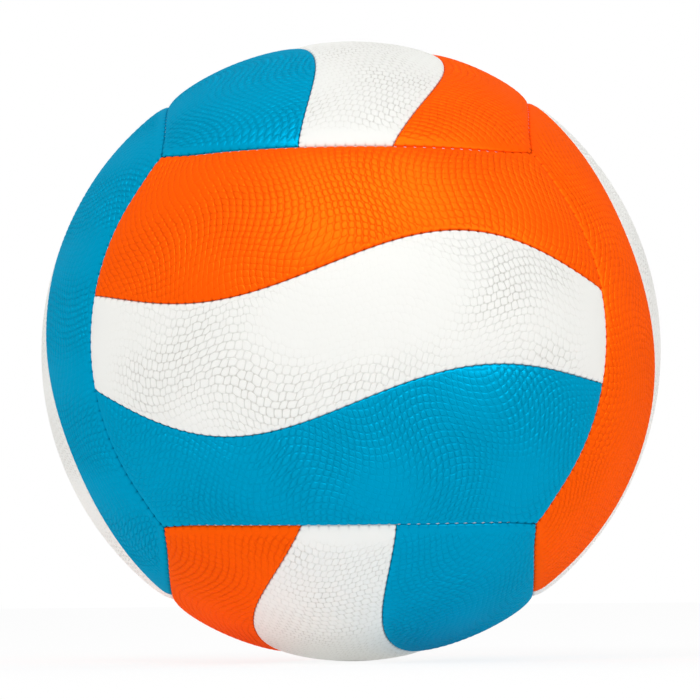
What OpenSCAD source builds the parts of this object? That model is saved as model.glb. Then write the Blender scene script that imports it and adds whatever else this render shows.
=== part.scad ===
// Volleyball sewn from eighteen foam-backed panels: six groups of three strips, each group
// laid at right angles to the groups beside it, over a rubber bladder with its valve.
// The origin is the ball's centre, +Z is up, the front group looks along -Y and the valve
// opens along +Y. Lengths are in millimetres.

/* [Ball] */
// Diameter of the inflated ball, which is then 670 mm round
ball_d = 213.3; // [204:0.1:223]
// Height of a panel's middle above the start of its rolled edges
crown_h = 0.4; // [0:0.1:1]

/* [Panels] */
// Width of the middle strip of each group at its centre, along the surface
middle_strip_w = 48.6; // [44:0.2:54]
// Spread of the two curved seams away from each other at either end, added to that strip
end_spread = 1.7; // [0:0.1:3]
// Swing of the curved seams to either side of their mean line
seam_wave = 12.6; // [6:0.1:14]
// Thickness of the cover skin
skin_t = 0.9; // [0.7:0.1:1.2]
// Width over which a panel's edge rolls down into the seam
roll_w = 3.6; // [2.8:0.1:4.6]
// Depth of the groove that two rolled edges leave
roll_depth = 1.8; // [1:0.1:2.2]

/* [Backing] */
// Thickness of the foam behind each panel
foam_t = 3; // [2:0.1:4]
// Thickness of the cloth lining behind the foam
lining_t = 0.4; // [0.3:0.05:0.8]
// Air gap between one layer and the next
layer_gap = 0.05; // [0.02:0.01:0.1]

/* [Seam thread] */
// Diameter of the sewing thread
thread_d = 0.8; // [0.6:0.05:1]
// Gap between the thread and the rims on either side
thread_gap = 0.2; // [0.15:0.05:0.3]

/* [Bladder] */
// Thickness of the rubber bladder
bladder_t = 0.8; // [0.6:0.1:1.2]

/* [Valve] */
// Depth of the valve's face below the ball's surface
valve_recess = 0; // [0:0.1:1]
// Diameter of the channel for the inflating needle
needle_d = 2.2; // [2:0.1:2.6]
// Length of the channel's straight wall
channel_l = 10; // [8:0.5:12]
// Diameter of the funnel at the channel's mouth
funnel_d = 3.4; // [3:0.1:4]
// Depth of the funnel
funnel_depth = 0.8; // [0.5:0.1:1.2]
// Length of rubber below the channel, parted only by the slit
core_end_l = 3; // [2:0.5:4]
// Opening of the slit at rest
slit_w = 0.2; // [0.1:0.05:0.3]
// Diameter of the valve core
core_d = 4.8; // [4.6:0.1:5.4]
// Height of the ring that locks the core in its housing
bead_h = 0.5; // [0.3:0.1:0.7]
// Length of that ring along the core
bead_l = 2; // [1.5:0.1:3]
// Gap between the core and its housing
core_gap = 0.05; // [0.02:0.01:0.1]
// Wall of the housing's stem
stem_wall = 1.3; // [1.1:0.1:1.8]
// Gap between the stem and the hole in the panel
stem_gap = 0.3; // [0.2:0.05:0.6]
// Diameter of the flange inside the bladder
flange_d = 26; // [20:1:32]
// Thickness of the flange
flange_t = 1.2; // [0.8:0.1:2]

/* [Hidden] */
$fn = 96;
// Overrun of every cut past the face that it opens
cut_over = 1;
// Even spans of a panel's surface along and across, between its rolled edges
long_steps = 16;
cross_steps = 4;
// Spans of a backing layer's outline, and spans in which a strip's length is measured
outline_steps = 28;
length_steps = 8;
thread_sides = 6;
// A backing layer's outline runs past its strip's ends by this share, where the border cuts it
past_end_share = 1.16;
// Points of a line across a panel that lie on its hem, at either end
hem_points = 2;

// Where the groups' borders lie, as a share of the ball's radius from its centre plane
border_share = 1 / sqrt(3);
border_turn = acos(border_share);
corner_turn = asin(border_share);
// A group's border has its corners where its two places across the group are alike
side_half_turn = atan2(border_share, border_share);

ball_r = ball_d / 2;
seam_gap = thread_d + 2 * thread_gap;
seam_turn = turn_of(middle_strip_w / 2);
spread_turn = turn_of(end_spread);
wave_turn = turn_of(seam_wave);

// The flat facets of a panel dip this far below the round that they follow
facet_dip = ball_r * (1 - cos(border_turn / long_steps));
rim_r = ball_r - crown_h;
groove_r = rim_r - roll_depth;
thread_r = groove_r - thread_d / 2;
foam_out_r = rim_r - skin_t - facet_dip - layer_gap;
foam_in_r = foam_out_r - foam_t;
lining_out_r = foam_in_r - layer_gap;
lining_in_r = lining_out_r - lining_t;
hem_r = lining_out_r + facet_dip + layer_gap;
bladder_out_r = lining_in_r - layer_gap;
bladder_in_r = bladder_out_r - bladder_t;

valve_face_r = ball_r - valve_recess;
channel_top_r = valve_face_r - funnel_depth;
channel_end_r = channel_top_r - channel_l;
core_end_r = channel_end_r - core_end_l;
socket_r = core_d / 2 + core_gap;
stem_r = socket_r + stem_wall;
valve_hole_r = stem_r + stem_gap;
bead_mid_r = (channel_top_r + channel_end_r) / 2;

// Each group's turn: the direction of its strips, the direction across them, and outwards
group_names = ["front", "right", "top", "back", "left", "bottom"];
group_axes = [
    [[1, 0, 0], [0, 0, 1], [0, -1, 0]],
    [[0, 0, 1], [0, -1, 0], [1, 0, 0]],
    [[0, -1, 0], [1, 0, 0], [0, 0, 1]],
    [[-1, 0, 0], [0, 0, 1], [0, 1, 0]],
    [[0, 0, -1], [0, -1, 0], [-1, 0, 0]],
    [[0, 1, 0], [1, 0, 0], [0, 0, -1]]
];
back = search(["back"], group_names)[0];
colour_names = ["orange", "white", "blue"];
skin_colours = [[0.99, 0.36, 0.06], [0.94, 0.94, 0.91], [0.01, 0.58, 0.75]];
foam_colour = [0.86, 0.84, 0.76];
lining_colour = [0.75, 0.75, 0.72];
rubber_colour = [0.12, 0.12, 0.13];
valve_colour = [0.2, 0.2, 0.2];
thread_colour = [0.85, 0.85, 0.82];

function mix(a, b, t) = a * (1 - t) + b * t;

// Turn, in degrees, of a length measured along the ball's surface
function turn_of(length) = length / ball_r * 180 / PI;

// Unit direction for a turn phi along the strips and a turn psi across them
function direction(phi, psi) = [sin(phi), cos(phi) * sin(psi), cos(phi) * cos(psi)];

// The S-shaped seam on one side of the middle strip, as [phi, psi], with s from -1 to 1.
// A strip ends where its outward coordinate is border_share, so phi follows from psi.
function end_phi(psi) = acos(border_share / cos(psi));
function seam_at(side, s, inset = 0) =
    let (psi = side * (seam_turn + spread_turn * pow(s, 4)) + wave_turn * sin(180 * s))
    let (phi = s * end_phi(psi))
    [phi, psi + inset / cos(phi)];

// The round border between an outer strip and the group beside it
function border_at(s) =
    let (phi = corner_turn * s)
    [phi, asin(border_share / cos(phi))];

// The two long edges of a strip
function near_edge(shape, s) = seam_at(shape == "middle" ? -1 : 1, s);
function far_edge(shape, s) = shape == "middle" ? seam_at(1, s) : border_at(s);
function shape_of(colour) = colour == "white" ? "middle" : "outer";

// A strip's surface, blended from its two long edges, with its ends bowed onto the border
function end_bow(shape, end, t) =
    let (a = near_edge(shape, end))
    let (b = far_edge(shape, end))
    end * end_phi(mix(a[1], b[1], t)) - mix(a[0], b[0], t);
function strip_at(shape, s, t) =
    let (p = mix(near_edge(shape, s), far_edge(shape, s), t))
    let (bow = mix(end_bow(shape, -1, t), end_bow(shape, 1, t), (s + 1) / 2))
    [p[0] + bow, p[1]];
function strip_direction(shape, s, t) =
    let (p = strip_at(shape, s, t))
    direction(p[0], p[1]);

// Lengths on the ball of a strip's line along s, and of its line across
function sum(list, i = 0) = i < len(list) ? list[i] + sum(list, i + 1) : 0;
function line_length(points) =
    sum([for (i = [1 : len(points) - 1]) norm(points[i] - points[i - 1])]);
function long_length(shape, t) =
    line_length([for (i = [0 : length_steps])
        ball_r * strip_direction(shape, 2 * i / length_steps - 1, t)]);
function cross_length(shape, s) =
    line_length([for (i = [0 : cross_steps]) ball_r * strip_direction(shape, s, i / cross_steps)]);

// Shares of a line at which a panel has its points: rim, inside of the hem, top of the roll,
// then even spans to the same three places at the other end
function places(length, spans) =
    let (rim = seam_gap / 2 / length)
    let (hem = rim + skin_t / length)
    let (roll = rim + roll_w / length)
    concat([rim, hem], [for (i = [0 : spans]) mix(roll, 1 - roll, i / spans)], [1 - hem, 1 - rim]);
long_count = len(places(ball_r, long_steps));
cross_count = len(places(ball_r, cross_steps));

// How far into the roll a place lies: 0 at its top, 1 at the rim
function into_roll(share, length) =
    max(0, 1 - (min(share, 1 - share) * length - seam_gap / 2) / roll_w);
function crowned_r(s, t) =
    let (x = 2 * t - 1)
    rim_r + crown_h * (1 - pow(x, 2)) * (1 - pow(s, 4));
function outer_r(s, t, along, across) =
    let (q = min(1, norm([along, across])))
    crowned_r(s, t) - roll_depth * (1 - sqrt(1 - pow(q, 2)));

function at_hem(i, count) = i < hem_points || i >= count - hem_points;

// One point of a panel's grid, as [outer point, inner point]
function panel_point(shape, i, j) =
    let (length = long_length(shape, j / (cross_count - 1)))
    let (share = places(length, long_steps)[i])
    let (s = 2 * share - 1)
    let (width = cross_length(shape, s))
    let (t = places(width, cross_steps)[j])
    let (way = strip_direction(shape, s, t))
    let (outside = outer_r(s, t, into_roll(share, length), into_roll(t, width)))
    let (hem = at_hem(i, long_count) || at_hem(j, cross_count))
    [way * outside, way * (hem ? hem_r : crowned_r(s, t) - skin_t)];

// The grid's border, once round, as point numbers
function border_loop() = concat(
    [for (i = [0 : long_count - 2]) i * cross_count],
    [for (j = [0 : cross_count - 2]) (long_count - 1) * cross_count + j],
    [for (i = [long_count - 1 : -1 : 1]) i * cross_count + cross_count - 1],
    [for (j = [cross_count - 1 : -1 : 1]) j]
);

// The skin of one panel: crowned, rolled down at its edges and turned in as a hem
module skin(shape) {
    grid = [for (i = [0 : long_count - 1]) for (j = [0 : cross_count - 1]) panel_point(shape, i, j)];
    loop = border_loop();
    half = len(grid);
    quads = [for (i = [0 : long_count - 2]) for (j = [0 : cross_count - 2])
        let (a = i * cross_count + j)
        [a, a + 1, a + 1 + cross_count, a + cross_count]];
    outside = [for (q = quads) each [[q[0], q[1], q[2]], [q[0], q[2], q[3]]]];
    inside = [for (f = outside) [f[2] + half, f[1] + half, f[0] + half]];
    sides = [for (k = [0 : len(loop) - 1])
        let (a = loop[k])
        let (b = loop[(k + 1) % len(loop)])
        each [[a, b, b + half], [a, b + half, a + half]]];
    polyhedron(
        points = concat([for (p = grid) p[0]], [for (p = grid) p[1]]),
        faces = concat(outside, inside, sides),
        convexity = 4
    );
}

// Places what is drawn for a group that looks along +Z, with its strips along +X
module on_group(g) {
    a = group_axes[g];
    multmatrix([
        [a[0][0], a[1][0], a[2][0], 0],
        [a[0][1], a[1][1], a[2][1], 0],
        [a[0][2], a[1][2], a[2][2], 0],
        [0, 0, 0, 1]
    ]) children();
}

// Front, right and top have orange above the middle strip, and the groups opposite have blue
function upper_colour(g) = g < back ? "orange" : "blue";

// Draws the strip of one colour: the middle one as it is, a lower one turned half round
module in_strip(g, colour) {
    lower = colour != "white" && colour != upper_colour(g);
    on_group(g) rotate([0, 0, lower ? 180 : 0]) children();
}

// The hole through the wall at the valve, cut from a piece drawn for the back group
module valve_hole(g, colour) {
    difference() {
        children();
        if (g == back && colour == "white") {
            on_group(back) translate([0, 0, core_end_r]) cylinder(r = valve_hole_r, h = ball_r);
        }
    }
}

module panel(g, colour) {
    color(skin_colours[search([colour], colour_names)[0]])
        valve_hole(g, colour) in_strip(g, colour) skin(shape_of(colour));
}

// Part of a round shell, within a turn of the group's outward axis
module dome(inner_r, outer_r, turn) {
    reach = 2 * outer_r;
    rotate_extrude() intersection() {
        difference() {
            circle(r = outer_r);
            circle(r = inner_r);
        }
        polygon([[0, 0], [reach * sin(turn), reach * cos(turn)], [0, reach]]);
    }
}

// A layer behind one strip, kept back from the seams by the inset. Its two S-shaped sides are
// an upright wall, and the borders cut it to cones that point at the ball's centre.
function flat_point(r, p) = [r * sin(p[0]), r * cos(p[0]) * sin(p[1])];
module layer(shape, inner_r, outer_r, inset) {
    turn = turn_of(inset);
    mid_r = (inner_r + outer_r) / 2;
    stations = [for (i = [0 : outline_steps]) past_end_share * (2 * i / outline_steps - 1)];
    back_stations = [for (i = [outline_steps : -1 : 0]) stations[i]];
    near = [for (s = stations) flat_point(mid_r, seam_at(shape == "middle" ? -1 : 1, s, turn))];
    far = shape == "middle"
        ? [for (s = back_stations) flat_point(mid_r, seam_at(1, s, -turn))]
        : [[near[outline_steps][0], ball_r], [near[0][0], ball_r]];
    difference() {
        intersection() {
            dome(inner_r, outer_r, border_turn - turn);
            linear_extrude(height = ball_r) polygon(concat(near, far));
        }
        if (shape == "outer") {
            neighbour_r = ball_r * tan(border_turn + turn);
            rotate([-90, 0, 0]) cylinder(r1 = 0, r2 = neighbour_r, h = ball_r);
        }
    }
}

module foam(g, colour) {
    inset = seam_gap / 2 + roll_w + layer_gap;
    color(foam_colour)
        valve_hole(g, colour)
            in_strip(g, colour) layer(shape_of(colour), foam_in_r, foam_out_r, inset);
}

module linings(g) {
    inset = seam_gap / 2;
    color(lining_colour) for (colour = colour_names) {
        valve_hole(g, colour)
            in_strip(g, colour) layer(shape_of(colour), lining_in_r, lining_out_r, inset);
    }
}

// Thread along an S-shaped seam, as a tube of straight runs between the panels' own points.
// It leaves out the rims' places, to end clear of the threads that run across its ends.
module curved_thread() {
    shares = places(long_length("middle", 1), long_steps);
    line = [for (i = [1 : len(shares) - 2])
        let (p = seam_at(1, 2 * shares[i] - 1))
        thread_r * direction(p[0], p[1])];
    last = len(line) - 1;
    rings = [for (i = [0 : last])
        let (ahead = line[min(i + 1, last)] - line[max(i - 1, 0)])
        let (up = line[i] / thread_r)
        let (side = cross(up, ahead) / norm(cross(up, ahead)))
        [for (k = [0 : thread_sides - 1])
            let (turn = 360 * k / thread_sides)
            line[i] + thread_d / 2 * (cos(turn) * side + sin(turn) * up)]];
    walls = [for (i = [0 : last - 1]) for (k = [0 : thread_sides - 1])
        let (a = i * thread_sides + k)
        let (b = i * thread_sides + (k + 1) % thread_sides)
        each [[a, b + thread_sides, b], [a, a + thread_sides, b + thread_sides]]];
    ends = [
        [for (k = [0 : thread_sides - 1]) k],
        [for (k = [thread_sides - 1 : -1 : 0]) last * thread_sides + k]
    ];
    polyhedron(points = [for (r = rings) each r], faces = concat(walls, ends), convexity = 4);
}

// Thread along the round border at the strips' ends, short of the corners at both ends
module border_thread() {
    round_r = thread_r * sin(border_turn);
    half = side_half_turn - asin(seam_gap / round_r);
    rotate([0, 0, -half]) rotate_extrude(angle = 2 * half)
        translate([round_r, thread_r * cos(border_turn)]) circle(r = thread_d / 2);
}

module seam_threads(g) {
    color(thread_colour) on_group(g) for (turn = [0, 180]) rotate([0, 0, turn]) {
        curved_thread();
        border_thread();
    }
}

module bladder() {
    color(rubber_colour) difference() {
        sphere(r = bladder_out_r);
        sphere(r = bladder_in_r);
        on_group(back) cylinder(r = stem_r + layer_gap, h = ball_r);
    }
}

// Outline of the core from its axis outwards, or of the socket that it sits in
module core_outline(r, gap) {
    polygon([
        [0, core_end_r],
        [r, core_end_r],
        [r, bead_mid_r - bead_l / 2 - gap],
        [r + bead_h, bead_mid_r],
        [r, bead_mid_r + bead_l / 2 + gap],
        [r, valve_face_r],
        [0, valve_face_r]
    ]);
}

module valve_housing() {
    color(rubber_colour) on_group(back) difference() {
        union() {
            translate([0, 0, core_end_r]) cylinder(r = stem_r, h = valve_face_r - core_end_r);
            intersection() {
                difference() {
                    sphere(r = bladder_in_r - layer_gap);
                    sphere(r = bladder_in_r - layer_gap - flange_t);
                }
                cylinder(r = flange_d / 2, h = ball_r);
            }
        }
        rotate_extrude() core_outline(socket_r, core_gap);
        translate([0, 0, valve_face_r - cut_over]) cylinder(r = socket_r, h = 2 * cut_over);
        translate([0, 0, core_end_r - cut_over]) cylinder(r = socket_r, h = 2 * cut_over);
    }
}

module valve_core() {
    color(valve_colour) on_group(back) difference() {
        rotate_extrude() core_outline(core_d / 2, 0);
        translate([0, 0, channel_end_r]) cylinder(d = needle_d, h = channel_l + cut_over);
        translate([0, 0, channel_top_r]) cylinder(d1 = needle_d, d2 = funnel_d, h = funnel_depth);
        translate([-slit_w / 2, -needle_d / 2, core_end_r - cut_over])
            cube([slit_w, needle_d, core_end_l + 2 * cut_over]);
    }
}

for (g = [0 : len(group_names) - 1]) {
    for (c = colour_names) {
        panel(g, c);
        foam(g, c);
    }
    linings(g);
    seam_threads(g);
}
bladder();
valve_housing();
valve_core();
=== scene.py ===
# %% [markdown]
# # A ball sewn from eighteen puffed panels
#
# The real ball is a rubber bladder in a sewn cover. The cover has six groups of three strips, and
# every group lies at right angles to the groups beside it. Each strip is soft synthetic leather on
# thin foam, so it swells a little between its seams and rolls down into them.
#
# The packed model is the fixed frame: it holds every layer at its real size. This lesson gives the
# parts that show their real surface. The covers and the sewing thread are made again as fine
# meshes, and the layers inside keep their packed shape and get a finish.

import bpy
import numpy as np
from mathutils import Matrix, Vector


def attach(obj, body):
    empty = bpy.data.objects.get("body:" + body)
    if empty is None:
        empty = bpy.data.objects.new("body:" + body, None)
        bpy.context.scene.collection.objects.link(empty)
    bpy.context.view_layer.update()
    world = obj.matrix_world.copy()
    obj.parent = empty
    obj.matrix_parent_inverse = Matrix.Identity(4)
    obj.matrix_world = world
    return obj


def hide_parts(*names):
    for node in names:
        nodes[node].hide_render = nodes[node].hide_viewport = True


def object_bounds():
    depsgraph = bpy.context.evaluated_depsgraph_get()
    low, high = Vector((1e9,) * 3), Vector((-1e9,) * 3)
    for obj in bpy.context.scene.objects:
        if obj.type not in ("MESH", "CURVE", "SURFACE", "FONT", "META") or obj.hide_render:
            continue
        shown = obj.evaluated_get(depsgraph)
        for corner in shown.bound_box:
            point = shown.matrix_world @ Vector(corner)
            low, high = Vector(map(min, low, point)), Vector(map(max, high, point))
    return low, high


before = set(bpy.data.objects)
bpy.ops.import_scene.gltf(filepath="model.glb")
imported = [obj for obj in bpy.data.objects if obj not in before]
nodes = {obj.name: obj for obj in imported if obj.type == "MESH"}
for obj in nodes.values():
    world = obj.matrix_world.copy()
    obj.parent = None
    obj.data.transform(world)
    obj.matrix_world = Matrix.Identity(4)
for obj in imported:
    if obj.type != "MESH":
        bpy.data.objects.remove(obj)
cad_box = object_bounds()
print(len(nodes), "nodes, box", [round(v, 4) for v in (*cad_box[0], *cad_box[1])])

# %% [markdown]
# ## Sizes
#
# The ball's radius comes from the frame's box. The other lengths are those of the packed panels,
# or lie a few tenths of a millimetre from them where that meets the photograph's seams better.
# They are in millimetres, because a seam is easier to think about in millimetres than in metres.
# One factor turns them into metres when a mesh is made.

# %% Sizes of the ball and its panels, in millimetres
MM = 0.001
BALL_R = (cad_box[1].x - cad_box[0].x) / 2 / MM
CROWN_H = 0.4
MIDDLE_STRIP_W = 48.4
END_SPREAD = 1.9
SEAM_WAVE = 12.6
SKIN_T = 0.9
HEM_R = 102.3
RIM_R = BALL_R - CROWN_H
CORNER_SHARE = 1 / np.sqrt(3)
CORNER_TURN = np.arcsin(CORNER_SHARE)
BORDER_TURN = np.radians(54.1)
BORDER_R = BALL_R * np.sin(BORDER_TURN)
print("radius", round(BALL_R, 2), "mm, rim at", round(RIM_R, 2), "mm")

# %% [markdown]
# ## Six groups, turned onto the ball
#
# One group is worked out once, looking along +Z with its strips along +X, and then turned onto its
# side of the ball. Its three directions are along the strips, across them, and outwards. Half of
# the groups carry orange above their white strip, and the other half carry blue there.

# %% The groups' directions and colours
GROUPS = {
    "front": ((1, 0, 0), (0, 0, 1), (0, -1, 0)),
    "right": ((0, 0, 1), (0, -1, 0), (1, 0, 0)),
    "top": ((0, -1, 0), (1, 0, 0), (0, 0, 1)),
    "back": ((-1, 0, 0), (0, 0, 1), (0, 1, 0)),
    "left": ((0, 0, -1), (0, -1, 0), (-1, 0, 0)),
    "bottom": ((0, 1, 0), (1, 0, 0), (0, 0, -1)),
}
UPPER_ORANGE = ("front", "right", "top")
COLOURS = ("orange", "white", "blue")


def turn_to_group(group, half_turn):
    """Rows are the group's directions, so that local points @ rows are in place on the ball.

    A half turn about the outward direction changes the sign of the other two.
    """
    rows = np.array(GROUPS[group], float)
    return rows * np.array([[-1], [-1], [1]]) if half_turn else rows


def lies_below(group, colour):
    """True for the outer strip below the white one: it is the upper one, turned half round."""
    upper = "orange" if group in UPPER_ORANGE else "blue"
    return colour not in ("white", upper)


print([(g, "orange above" if g in UPPER_ORANGE else "blue above") for g in GROUPS])

# %% [markdown]
# ## The seams as curves on the ball
#
# A place on the ball is a turn phi along the strips and a turn psi across them. A strip ends on its
# group's border. The borders meet at the corners of a cube, where all three coordinates are one
# over the square root of three. A circle through those corners about the group's middle lies 54.7
# degrees from it, but the sewn strips are a little shorter than that, so the border bows inwards,
# to 54.1 degrees at its middle. It is the circle in which the ball is cut by the plane through two
# corners and that middle point.

# %% Directions and borders
def direction(phi, psi):
    """Unit vector: sine of phi, then cosine of phi times sine and times cosine of psi."""
    return np.stack([np.sin(phi), np.cos(phi) * np.sin(psi), np.cos(phi) * np.cos(psi)], -1)


# The border's plane: OUT times the outward coordinate less ALONG times the one along the strips.
OUT, ALONG = np.sin(BORDER_TURN) - CORNER_SHARE, np.cos(BORDER_TURN) - CORNER_SHARE
LEVEL = (OUT - ALONG) * CORNER_SHARE


def end_phi(psi):
    """Turn along the strip at its border: OUT cos phi cos psi - ALONG sin phi = LEVEL, solved."""
    out = OUT * np.cos(psi)
    return np.arccos(LEVEL / np.hypot(out, ALONG)) - np.arctan2(ALONG, out)


def border_at(s):
    """Border beside an outer strip: cos phi (OUT sin psi - ALONG cos psi) = LEVEL, solved."""
    phi = CORNER_TURN * s
    return phi, np.arctan2(ALONG, OUT) + np.arcsin(LEVEL / np.hypot(OUT, ALONG) / np.cos(phi))


print("border at", round(float(np.degrees(end_phi(0.0))), 1), "degrees in its middle,",
      round(float(np.degrees(border_at(0.0)[1])), 1), "from the middle of the group beside it")

# %% [markdown]
# The two seams that part a group's strips are S-shaped: a sine wave added to a constant turn, with
# the ends spread a little. They could be drawn by hand as curves, but a formula keeps the two
# exactly alike, as they are on strips cut with one die. A strip's surface is then a blend of its
# two long edges, with s from -1 to 1 along it and t from 0 to 1 across it.

# %% Seams and strips
def seam_at(side, s):
    """S-shaped seam: psi is half the strip's width, spread by s to the fourth, plus one sine."""
    half_width = MIDDLE_STRIP_W / 2 + END_SPREAD * s ** 4
    psi = (side * half_width + SEAM_WAVE * np.sin(np.pi * s)) / BALL_R
    return s * end_phi(psi), psi


def strip_edges(shape, s):
    """The near and the far long edge of a strip, each as phi and psi."""
    if shape == "middle":
        return seam_at(-1, s), seam_at(1, s)
    return seam_at(1, s), border_at(s)


def mix(a, b, share):
    """Blend: a times one less the share, plus b times the share."""
    return a * (1 - share) + b * share


def end_bow(shape, end, t):
    """How far the border lies past the straight blend of the two corners, at one end."""
    near, far = strip_edges(shape, float(end))
    return end * end_phi(mix(near[1], far[1], t)) - mix(near[0], far[0], t)


def strip_at(shape, s, t):
    """A strip's phi and psi: its edges blended by t, with its ends bowed onto the border."""
    near, far = strip_edges(shape, s)
    bow = mix(end_bow(shape, -1, t), end_bow(shape, 1, t), (s + 1) / 2)
    return mix(near[0], far[0], t) + bow, mix(near[1], far[1], t)


seam_psi = np.degrees(seam_at(1, np.linspace(-1, 1, 41))[1])
print("S-shaped seam between", seam_psi.min().round(1), "and", seam_psi.max().round(1), "degrees")

# %% [markdown]
# The rolled edges have a width in millimetres, while s and t are shares of a line. So the length
# of each line is needed. It is summed along a fine line once, kept in a short table, and read from
# there by interpolation for every point of a grid.

# %% Lengths of the lines along and across a strip
TABLE_STEPS = 64


def line_lengths(points):
    """Running length of each line of points, summed over the last but one axis."""
    steps = np.linalg.norm(np.diff(points, axis=-2), axis=-1)
    return BALL_R * np.concatenate([0 * steps[..., :1], np.cumsum(steps, -1)], -1)


def length_tables(shape):
    """Length of the line at each t, and of the line across at each s."""
    s, t = np.linspace(-1, 1, TABLE_STEPS + 1), np.linspace(0, 1, TABLE_STEPS + 1)
    grid = direction(*strip_at(shape, s[None, :], t[:, None]))
    return (t, line_lengths(grid)[:, -1]), (s, line_lengths(grid.transpose(1, 0, 2))[:, -1])


LENGTHS = {shape: length_tables(shape) for shape in ("middle", "outer")}


def long_length(shape, t):
    """Length of the line along a strip at t, read between the table's entries."""
    return np.interp(t, *LENGTHS[shape][0])


def cross_length(shape, s):
    """Length of the line across a strip at s, read between the table's entries."""
    return np.interp(s, *LENGTHS[shape][1])


for shape in LENGTHS:
    print(shape, "strip:", round(float(long_length(shape, 0.5)), 1), "mm long,",
          round(float(cross_length(shape, 0.0)), 1), "mm wide")

# %% [markdown]
# ## Stitches along the seams
#
# The panels are sewn with stitches of about 3.3 mm. Each needle hole opens the seam a little and
# puckers the leather beside it, so a panel's edge and the thread have to agree on where the
# stitches are. On an S-shaped seam they are counted from its middle by length, and the last one
# lies half a stitch before its end. On a border, which is part of a circle, they are counted by
# the turn about that circle's axis.

# %% Places of the stitches
STITCH = 3.3
SEAM_STEPS = 512
HALF_STITCH = 0.5
seam_s = np.linspace(-1, 1, SEAM_STEPS + 1)
seam_arc = line_lengths(direction(*seam_at(1, seam_s)))
seam_arc -= seam_arc[-1] / 2
SEAM_STITCHES = round(seam_arc[-1] / STITCH - HALF_STITCH)
SEAM_PITCH = seam_arc[-1] / (SEAM_STITCHES + HALF_STITCH)
BORDER_STITCHES = 41
BORDER_PITCH = np.pi / 2 / BORDER_STITCHES


def off_stitch(place, pitch):
    """Distance from a place to the nearest whole multiple of the pitch."""
    return np.abs(place - pitch * np.round(place / pitch))


def seam_off(s):
    """Distance along an S-shaped seam to its nearest stitch."""
    return off_stitch(np.interp(s, seam_s, seam_arc), SEAM_PITCH)


def border_off(aside, out):
    """Distance along a border to its nearest stitch, from two coordinates in its plane."""
    return BORDER_R * off_stitch(np.arctan2(aside, out), BORDER_PITCH)


print("S-shaped seam", round(2 * seam_arc[-1], 1), "mm,", 2 * SEAM_STITCHES + 1, "stitches;",
      "border", BORDER_STITCHES, "stitches")

# %% [markdown]
# ## A panel's grid
#
# A panel is one grid of points. Its lines lie close together over the edge that turns down into
# the seam, and evenly between. A subdivided plane would spread them evenly everywhere, and the
# edge would need many more faces. Each line's place is a fixed distance plus a share of the line's
# length, so that two short lists give the whole grid.

# %% Grid lines
RIM_GAP = 0.05
EDGE_LINES = RIM_GAP + np.array([0.0, 0.02, 0.08, 0.18, 0.34, 0.55, 0.8, 1.12])
GRID_STEP = 0.49


def even_terms(roll, spans):
    """Grid lines as fixed distances and shares of the length: roll, even spans, roll."""
    share = np.linspace(0, 1, spans + 1)[1:-1]
    fixed = np.concatenate([roll, roll[-1] * (1 - 2 * share), -roll[::-1]])
    return fixed, np.concatenate([0 * roll, share, 0 * roll + 1])


def plain_grid(shape, roll, spans):
    """Distances along and across for each crossing of the grid lines, and the lines' lengths."""
    along_fixed, along_share = even_terms(roll, spans[0])
    across_fixed, across_share = even_terms(roll, spans[1])
    middle_width = cross_length(shape, 0.0)
    length = long_length(shape, across_fixed / middle_width + across_share)[None, :]
    along = along_fixed[:, None] + along_share[:, None] * length
    width = cross_length(shape, 2 * along / length - 1)
    across = across_fixed[None, :] + across_share[None, :] * width
    return along, across, length + 0 * along, width


print(len(EDGE_LINES), "lines in the first", round(EDGE_LINES[-1], 2), "mm, then one every",
      GRID_STEP, "mm")

# %% [markdown]
# A cut panel's corner is a little round. At the corners the square grid is therefore pressed into
# a quarter disc, which rounds a corner without a pole where many faces would meet.

# %% Round corners
CORNER_R = 0.8


def from_edge(place, length):
    """Distance to the nearer end of a line: the place, or the length less the place."""
    return np.minimum(place, length - place)


def put_back(distance, place, length):
    """The place on a line that lies at this distance from the end that it is near."""
    return np.where(place < length / 2, distance, length - distance)


def round_corners(a, b):
    """Square to disc: each distance grows by its share times 1 - root of 1 - other squared / 2."""
    x, y = (np.clip(1 - (d - RIM_GAP) / CORNER_R, 0, 1) for d in (a, b))
    return (a + CORNER_R * x * (1 - np.sqrt(1 - y * y / 2)),
            b + CORNER_R * y * (1 - np.sqrt(1 - x * x / 2)))


corner_in = round_corners(RIM_GAP, RIM_GAP)[0] - RIM_GAP
print("a corner's point moves in by", round(float(corner_in), 2), "mm")

# %% [markdown]
# A stitch pulls the rim back, which opens its needle hole, and puckers the roll above it. Both die
# away with the distance from the seam and from the stitch as bell curves. Down in the seam little
# light comes back. Rendered light alone makes that too pale, so a painted shade is worked out for
# each point, a dark line along the rim and a darker tick at each needle hole, and the cover's finish
# paints it into its colour.

# %% Needle holes, puckers and shade
HOLE_W = 0.2
HOLE_L = 0.42
HOLE_REACH = 0.7
PUCKER = 0.16
PUCKER_L = 0.6
PUCKER_REACH = 0.9
# SHADE and the ticks are painted shade in the seam: darker colour along the rim and at each needle
# hole.
SHADE = 0.22
SHADE_REACH = 0.14
SHADE_TICK_L = 0.34
SHADE_TICK_REACH = 0.5


def bell(x):
    """Bell curve: e to the power of minus x squared."""
    return np.exp(-x * x)


def edge_gaps(shape, s, t):
    """Distance to the nearest stitch of the end's seam and of the long edge's seam."""
    x, y, z = np.moveaxis(direction(*strip_at(shape, s, t)), -1, 0)
    far = seam_off(s) if shape == "middle" else border_off(x, z)
    return border_off(y, np.abs(x)), np.where(t < 0.5, seam_off(s), far)


def seam_shade(edge, gap):
    """Painted shade: a dark line at the rim, dying away exponentially, or a darker tick at a
    stitch's needle hole, the larger one.
    """
    out = edge - RIM_GAP
    return np.maximum(SHADE * np.exp(-out / SHADE_REACH),
                      bell(gap / SHADE_TICK_L) * np.exp(-out / SHADE_TICK_REACH))


print("shade at the rim:", float(seam_shade(RIM_GAP, STITCH / 2).round(2)), "between stitches,",
      float(seam_shade(RIM_GAP, 0.0)), "at one")

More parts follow.
